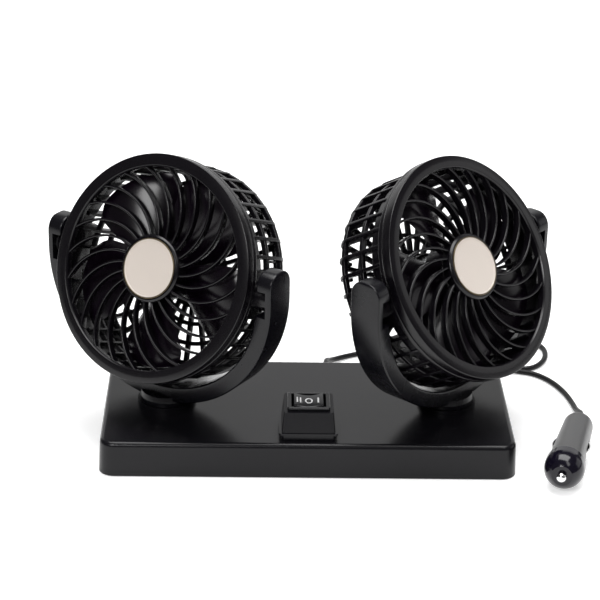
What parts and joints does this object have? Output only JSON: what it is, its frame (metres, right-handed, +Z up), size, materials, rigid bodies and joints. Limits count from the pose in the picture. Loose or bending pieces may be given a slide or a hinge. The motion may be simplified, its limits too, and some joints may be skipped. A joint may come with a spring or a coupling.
{
  "type": "dual head car fan",
  "caption": "Dashboard car fan with swivelling, tilting round fan heads in U-shaped yokes on a shared flat base with a rocker switch and a corded 12 V plug.",
  "frame": {"origin": "centre of the adhesive pad's underside, below the centre of the base", "axes": "+X to the right of somebody who faces the switch, +Y away from them, +Z up"},
  "size_m": [0.2832, 0.1895, 0.1505],
  "materials": {
    "base_plastic": "fine satin grain",
    "pad_foam": "foam",
    "screw_steel": "zinc plated",
    "switch_plastic": "gloss",
    "rocker_plastic": "satin, marked II O I",
    "terminal_brass": "tinned",
    "ceramic": "matt ceramic stood in for by plastic",
    "head_plastic": "semi-gloss",
    "yoke_plastic": "satin",
    "badge_metal": "champagne, satin",
    "impeller_plastic": "gloss",
    "washer_plastic": "waxy",
    "can_steel": "plated",
    "magnet": "matt ferrite",
    "shaft_steel": "ground",
    "copper": "enamelled wire over steel laminations",
    "bush_bronze": "sintered",
    "cord_rubber": "satin",
    "tie_plastic": "satin",
    "plug_plastic": "semi-gloss",
    "plug_nose_plastic": "high gloss",
    "plug_metal": "nickel plated",
    "fuse_glass": "clear, with metal caps"
  },
  "bodies": {
    "base": {"base_cover": "base_plastic", "base_plate": "base_plastic", "base_screws": "screw_steel", "adhesive_pad": "pad_foam", "switch_body": "switch_plastic", "switch_terminals": "terminal_brass", "speed_resistor": "ceramic", "cord_strain_relief": "cord_rubber", "cord_lead": "cord_rubber", "cord_coil": "cord_rubber", "cord_tie": "tie_plastic", "cord_tail": "cord_rubber", "plug_body": "plug_plastic", "plug_nose_cap": "plug_nose_plastic", "plug_strain_relief": "cord_rubber", "plug_spring": "plug_metal"},
    "left_yoke": {"left_yoke": "yoke_plastic", "left_swivel_washer": "washer_plastic", "left_swivel_clip": "screw_steel"},
    "left_head": {"left_front_grille": "head_plastic", "left_hub_badge": "badge_metal", "left_rear_basket": "head_plastic", "left_tilt_washers": "washer_plastic", "left_motor_can": "can_steel", "left_motor_end_cap": "switch_plastic", "left_motor_bushes": "bush_bronze", "left_motor_magnets": "magnet", "left_motor_terminals": "terminal_brass"},
    "left_impeller": {"left_impeller": "impeller_plastic", "left_motor_shaft": "shaft_steel", "left_motor_armature": "copper"},
    "right_yoke": {"right_yoke": "yoke_plastic", "right_swivel_washer": "washer_plastic", "right_swivel_clip": "screw_steel"},
    "right_head": {"right_front_grille": "head_plastic", "right_hub_badge": "badge_metal", "right_rear_basket": "head_plastic", "right_tilt_washers": "washer_plastic", "right_motor_can": "can_steel", "right_motor_end_cap": "switch_plastic", "right_motor_bushes": "bush_bronze", "right_motor_magnets": "magnet", "right_motor_terminals": "terminal_brass"},
    "right_impeller": {"right_impeller": "impeller_plastic", "right_motor_shaft": "shaft_steel", "right_motor_armature": "copper"},
    "rocker": {"switch_rocker": "rocker_plastic"},
    "plug_tip": {"plug_tip": "plug_metal", "plug_fuse": "fuse_glass"},
    "plug_left_contact": {"plug_left_contact": "plug_metal"},
    "plug_right_contact": {"plug_right_contact": "plug_metal"}
  },
  "joints": [
    {"name": "left_swivel", "type": "hinge", "parent": "base", "child": "left_yoke", "pos_m": [-0.0724, 0, 0.0185], "axis": [0, 0, 1], "continuous": true},
    {"name": "left_tilt", "type": "hinge", "parent": "left_yoke", "child": "left_head", "pos_m": [-0.0724, 0, 0.0919], "axis": [-0.829, 0.5592, 0], "range_deg": [-67, 68]},
    {"name": "left_spin", "type": "hinge", "parent": "left_head", "child": "left_impeller", "pos_m": [-0.0724, 0, 0.0919], "axis": [-0.5185, -0.7687, 0.3746], "continuous": true},
    {"name": "right_swivel", "type": "hinge", "parent": "base", "child": "right_yoke", "pos_m": [0.0724, 0, 0.0185], "axis": [0, 0, 1], "continuous": true},
    {"name": "right_tilt", "type": "hinge", "parent": "right_yoke", "child": "right_head", "pos_m": [0.0724, 0, 0.0919], "axis": [-0.682, -0.7314, 0], "range_deg": [-75.5, 59.5]},
    {"name": "right_spin", "type": "hinge", "parent": "right_head", "child": "right_impeller", "pos_m": [0.0724, 0, 0.0919], "axis": [0.6302, -0.5876, 0.5075], "continuous": true},
    {"name": "switch_rock", "type": "hinge", "parent": "base", "child": "rocker", "pos_m": [0, -0.03224, 0.03241], "axis": [0, 0.9945, 0.1045], "range_deg": [-9, 9]},
    {"name": "plug_tip_press", "type": "slide", "parent": "base", "child": "plug_tip", "axis": [0.267, 0.9626, -0.0454], "range_m": [0, 0.0024], "stiffness_N_per_m": 800, "springref_m": -0.002, "deforming": ["plug_spring"]},
    {"name": "plug_right_contact_press", "type": "slide", "parent": "base", "child": "plug_right_contact", "axis": [-0.9636, 0.2672, 0], "range_m": [0, 0.001], "stiffness_N_per_m": 1500, "springref_m": -0.001},
    {"name": "plug_left_contact_press", "type": "slide", "parent": "base", "child": "plug_left_contact", "axis": [0.9636, -0.2672, 0], "range_m": [0, 0.001], "stiffness_N_per_m": 1500, "springref_m": -0.001}
  ]
}
